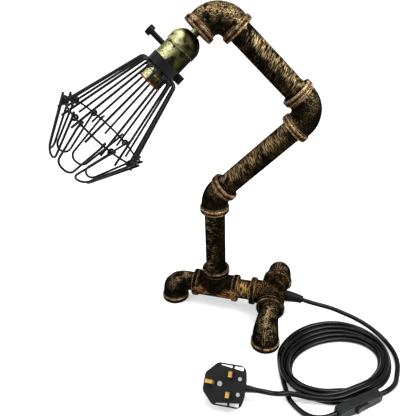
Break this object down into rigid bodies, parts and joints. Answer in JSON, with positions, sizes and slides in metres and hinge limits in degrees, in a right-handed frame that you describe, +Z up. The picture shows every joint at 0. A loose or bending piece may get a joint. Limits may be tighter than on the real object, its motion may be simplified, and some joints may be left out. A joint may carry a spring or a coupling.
{
  "type": "table lamp",
  "caption": "Jointed table lamp of black iron pipe and elbows with a brass key lampholder, a black wire cage, and flex with switch and plug.",
  "frame": {"origin": "middle of the foot-print of the lamp without its flex, on the surface it stands on", "axes": "+Z up, +X along the base run from the riser tee to the rear tee, where the flex leaves"},
  "size_m": [0.4163, 0.2615, 0.4114],
  "materials": {
    "cast": "black with brushed gold highlights",
    "pipe": "black with brushed gold highlights",
    "aged_brass": "aged, mottled",
    "contact_brass": "plain",
    "wire": "satin black",
    "steel": "zinc plated",
    "knob": "black",
    "moulded": "black",
    "phenolic": "brown-black",
    "fibre": "insulating fibre",
    "flex": "black, glossy",
    "fuse_body": "ceramic"
  },
  "bodies": {
    "base": {"left_foot_elbow": "cast", "front_foot_elbow": "cast", "back_foot_elbow": "cast", "riser_tee": "cast", "rear_tee": "cast", "base_nipple": "pipe", "strain_relief": "flex", "flex_base": "flex", "flex_lead": "flex", "flex_link": "flex", "flex_coil": "flex", "flex_tail": "flex", "plug_plate": "moulded", "plug_cover": "moulded", "plug_earth_pin": "contact_brass", "plug_line_pins": "contact_brass", "plug_pin_sleeves": "moulded", "plug_screws": "steel", "plug_fuse": "fuse_body", "plug_grip": "flex", "inline_case_back": "moulded", "inline_case_front": "moulded", "inline_contact": "contact_brass", "inline_screws": "steel"},
    "riser": {"riser_pipe": "pipe", "riser_elbow": "cast", "flex_riser": "flex"},
    "lower_arm": {"lower_arm_pipe": "pipe", "knee_elbow": "cast", "flex_lower_arm": "flex"},
    "upper_arm": {"upper_arm_pipe": "pipe", "head_elbow": "cast", "head_bush": "cast", "flex_upper_arm": "flex"},
    "lampholder": {"holder_nipple": "aged_brass", "nipple_nut": "steel", "holder_cap": "aged_brass", "holder_shell": "aged_brass", "holder_liner": "fibre", "switch_block": "phenolic", "screw_shell": "aged_brass", "centre_contact": "contact_brass", "flex_holder": "flex"},
    "key": {"turn_key": "knob", "key_spindle": "contact_brass"},
    "cage": {"cage_collar": "wire", "clamp_screw": "steel", "clamp_nut": "steel", "cage_ring": "wire", "cage_wires": "wire"},
    "switch_rocker": {"inline_rocker": "moulded"},
    "petal_1": {"petal_1": "wire"},
    "petal_2": {"petal_2": "wire"},
    "petal_3": {"petal_3": "wire"},
    "petal_4": {"petal_4": "wire"},
    "petal_5": {"petal_5": "wire"},
    "petal_6": {"petal_6": "wire"},
    "petal_7": {"petal_7": "wire"},
    "petal_8": {"petal_8": "wire"}
  },
  "joints": [
    {"name": "riser_turn", "type": "hinge", "parent": "base", "child": "riser", "pos_m": [0.02171, 0.01874, 0.0643], "axis": [0, 0, 1], "range_deg": [-170, 170]},
    {"name": "lower_arm_turn", "type": "hinge", "parent": "riser", "child": "lower_arm", "pos_m": [0.03705, 0.02087, 0.19509], "axis": [0.7004, 0.0972, 0.7071], "range_deg": [-60, 60]},
    {"name": "upper_arm_turn", "type": "hinge", "parent": "lower_arm", "child": "upper_arm", "pos_m": [0.11321, 0.03292, 0.31767], "axis": [-0.7059, -0.0522, 0.7064], "range_deg": [-120, 120]},
    {"name": "lampholder_turn", "type": "hinge", "parent": "upper_arm", "child": "lampholder", "pos_m": [0.00733, 0.01342, 0.38207], "axis": [-0.6399, -0.4098, -0.65], "range_deg": [-160, 160]},
    {"name": "key_turn", "type": "hinge", "parent": "lampholder", "child": "key", "pos_m": [-0.01417, -0.00035, 0.36023], "axis": [-0.697, -0.0464, 0.7155], "continuous": true},
    {"name": "cage_turn", "type": "hinge", "parent": "lampholder", "child": "cage", "pos_m": [-0.02057, -0.00445, 0.35373], "axis": [-0.6399, -0.4098, -0.65], "range_deg": [-170, 170]},
    {"name": "petal_1_hinge", "type": "hinge", "parent": "cage", "child": "petal_1", "pos_m": [-0.12325, -0.04527, 0.32026], "axis": [-0.2576, 0.9114, -0.3209], "range_deg": [0, 95]},
    {"name": "petal_2_hinge", "type": "hinge", "parent": "cage", "child": "petal_2", "pos_m": [-0.12177, -0.01377, 0.29894], "axis": [0.3297, 0.6176, -0.714], "range_deg": [0, 95]},
    {"name": "petal_3_hinge", "type": "hinge", "parent": "cage", "child": "petal_3", "pos_m": [-0.10007, -0.00183, 0.27004], "axis": [0.7239, -0.0379, -0.6888], "range_deg": [0, 95]},
    {"name": "petal_4_hinge", "type": "hinge", "parent": "cage", "child": "petal_4", "pos_m": [-0.07086, -0.01644, 0.2505], "axis": [0.6941, -0.6712, -0.2601], "range_deg": [0, 95]},
    {"name": "petal_5_hinge", "type": "hinge", "parent": "cage", "child": "petal_5", "pos_m": [-0.05125, -0.04904, 0.25175], "axis": [0.2576, -0.9114, 0.3209], "range_deg": [0, 95]},
    {"name": "petal_6_hinge", "type": "hinge", "parent": "cage", "child": "petal_6", "pos_m": [-0.05274, -0.08053, 0.27307], "axis": [-0.3297, -0.6176, 0.714], "range_deg": [0, 95]},
    {"name": "petal_7_hinge", "type": "hinge", "parent": "cage", "child": "petal_7", "pos_m": [-0.07444, -0.09247, 0.30196], "axis": [-0.7239, 0.0379, 0.6888], "range_deg": [0, 95]},
    {"name": "petal_8_hinge", "type": "hinge", "parent": "cage", "child": "petal_8", "pos_m": [-0.10365, -0.07787, 0.32151], "axis": [-0.6941, 0.6712, 0.2601], "range_deg": [0, 95]},
    {"name": "rocker_tilt", "type": "hinge", "parent": "base", "child": "switch_rocker", "pos_m": [0.22527, -0.11846, 0.008], "axis": [0, 0, 1], "range_deg": [-14, 0]}
  ]
}
